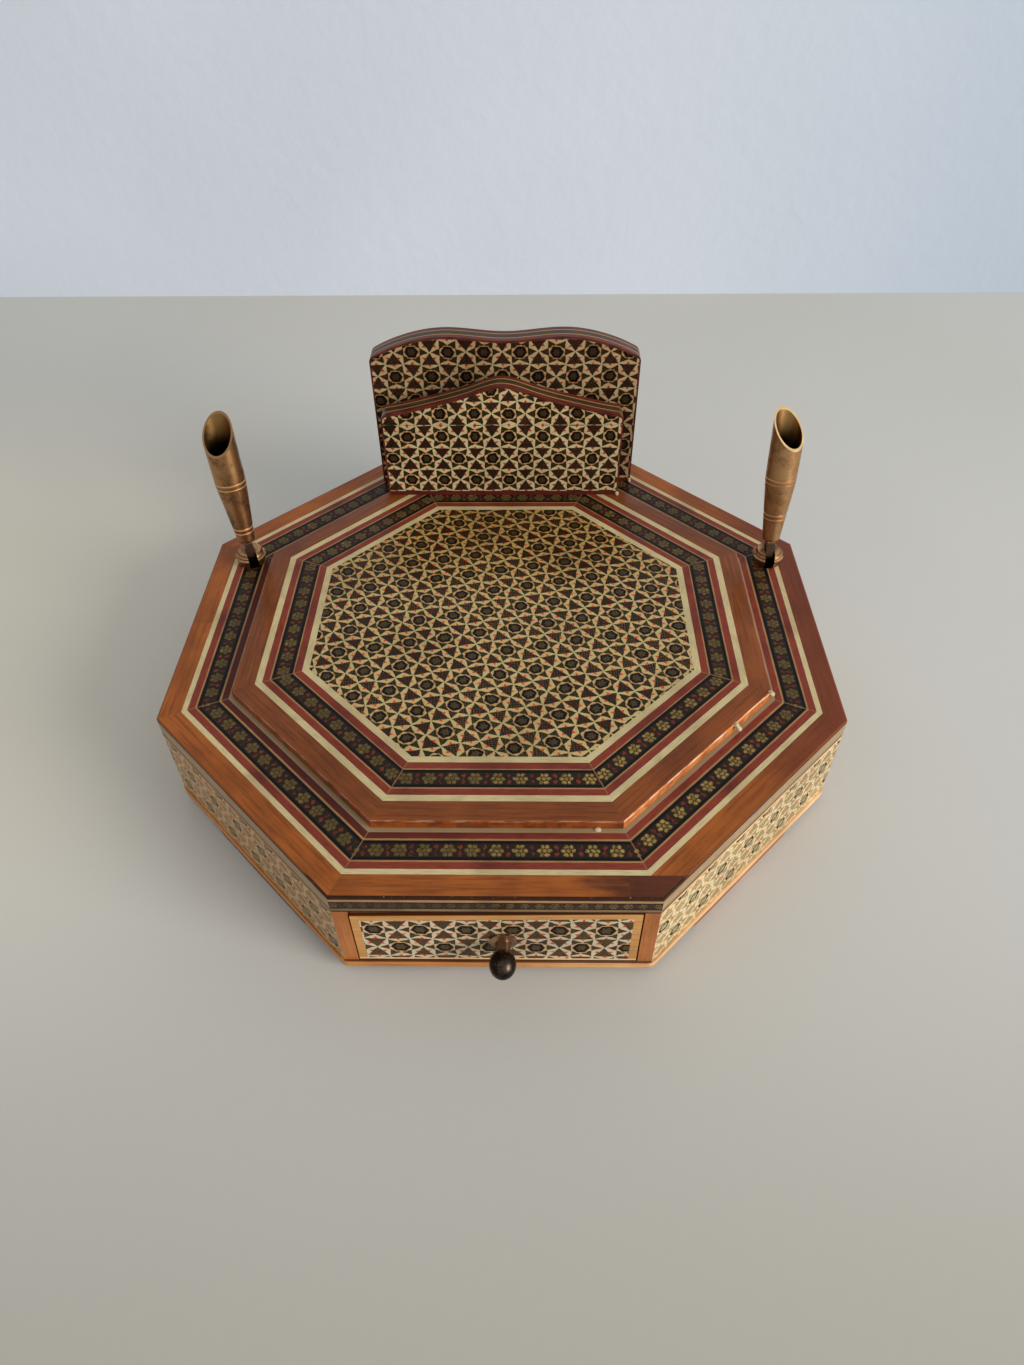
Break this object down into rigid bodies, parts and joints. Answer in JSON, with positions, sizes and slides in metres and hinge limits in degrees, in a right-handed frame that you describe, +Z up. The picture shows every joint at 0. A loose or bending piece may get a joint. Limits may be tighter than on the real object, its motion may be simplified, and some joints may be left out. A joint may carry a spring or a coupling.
{
  "type": "desk pen stand with drawer",
  "caption": "Octagonal inlaid desk stand with a front drawer, a letter rack of two shaped boards and two tilting funnel pen holders.",
  "frame": {"origin": "middle of the bounding box, on the surface that the feet stand on", "axes": "+Z up, +X to the right as seen from the front, the drawer opens towards -Y and the letter rack stands at +Y"},
  "size_m": [0.2412, 0.2536, 0.1135],
  "materials": {
    "case_wood": "plain sanded wood",
    "light_wood": "lacquered",
    "dark_wood": "lacquered",
    "brown_lacquered_wood": "high gloss lacquer",
    "khatam_inlay": "star-pattern marquetry under lacquer",
    "cream_inlay": "lacquered",
    "red_inlay": "lacquered",
    "gold_line": "thin brass line under lacquer",
    "black_inlay": "lacquered",
    "aged_brass": "tarnished turned brass",
    "dark_bronze": "dark patina",
    "screw_steel": "plain"
  },
  "bodies": {
    "case": {"bottom_board": "light_wood", "deck_board": "case_wood", "deck_cream_lines": "cream_inlay", "deck_edge_dark_lines": "black_inlay", "deck_edge_gold_lines": "gold_line", "deck_edge_khatam_strip": "khatam_inlay", "deck_gold_lines": "gold_line", "deck_khatam_band": "khatam_inlay", "deck_red_lines": "red_inlay", "deck_wood_border": "brown_lacquered_wood", "foot_back_left": "dark_wood", "foot_back_right": "dark_wood", "foot_front_left": "dark_wood", "foot_front_right": "dark_wood", "guide_left": "case_wood", "guide_right": "case_wood", "letter_back_base_lines": "red_inlay", "letter_back_board": "case_wood", "letter_back_edge_strip": "red_inlay", "letter_back_khatam_sheets": "khatam_inlay", "letter_front_base_lines": "red_inlay", "letter_front_board": "case_wood", "letter_front_edge_strip": "red_inlay", "letter_front_khatam_sheets": "khatam_inlay", "post_left": "light_wood", "post_right": "light_wood", "tier_board": "case_wood", "tier_cream_lines": "cream_inlay", "tier_gold_lines": "gold_line", "tier_khatam_band": "khatam_inlay", "tier_khatam_field": "khatam_inlay", "tier_red_lines": "red_inlay", "tier_wood_border": "brown_lacquered_wood", "wall_back": "case_wood", "wall_back_left": "case_wood", "wall_back_right": "case_wood", "wall_beads": "light_wood", "wall_front_left": "case_wood", "wall_front_right": "case_wood", "wall_khatam_sheets": "khatam_inlay", "wall_left": "case_wood", "wall_right": "case_wood"},
    "drawer": {"drawer_back": "case_wood", "drawer_border": "light_wood", "drawer_floor": "case_wood", "drawer_front": "case_wood", "drawer_khatam_sheet": "khatam_inlay", "drawer_left_side": "case_wood", "drawer_right_side": "case_wood", "knob": "dark_bronze", "knob_rosette": "dark_bronze", "knob_screw": "screw_steel"},
    "left_swivel": {"left_boss": "aged_brass", "left_boss_nut": "aged_brass", "left_cross_pin": "aged_brass"},
    "left_holder": {"left_funnel": "aged_brass"},
    "right_swivel": {"right_boss": "aged_brass", "right_boss_nut": "aged_brass", "right_cross_pin": "aged_brass"},
    "right_holder": {"right_funnel": "aged_brass"}
  },
  "joints": [
    {"name": "drawer_slide", "type": "slide", "parent": "case", "child": "drawer", "axis": [0, -1, 0], "range_m": [0, 0.15]},
    {"name": "left_boss_turn", "type": "hinge", "parent": "case", "child": "left_swivel", "pos_m": [-0.1047, 0.04466, 0.045], "axis": [0, 0, 1], "continuous": true},
    {"name": "left_holder_tilt", "type": "hinge", "parent": "left_swivel", "child": "left_holder", "pos_m": [-0.1047, 0.04466, 0.049], "axis": [-0.91, -0.4147, 0], "range_deg": [-49, 31]},
    {"name": "right_boss_turn", "type": "hinge", "parent": "case", "child": "right_swivel", "pos_m": [0.1079, 0.04466, 0.045], "axis": [0, 0, 1], "continuous": true},
    {"name": "right_holder_tilt", "type": "hinge", "parent": "right_swivel", "child": "right_holder", "pos_m": [0.1079, 0.04466, 0.049], "axis": [-0.9981, 0.061, 0], "range_deg": [-53.7, 26.3]}
  ]
}
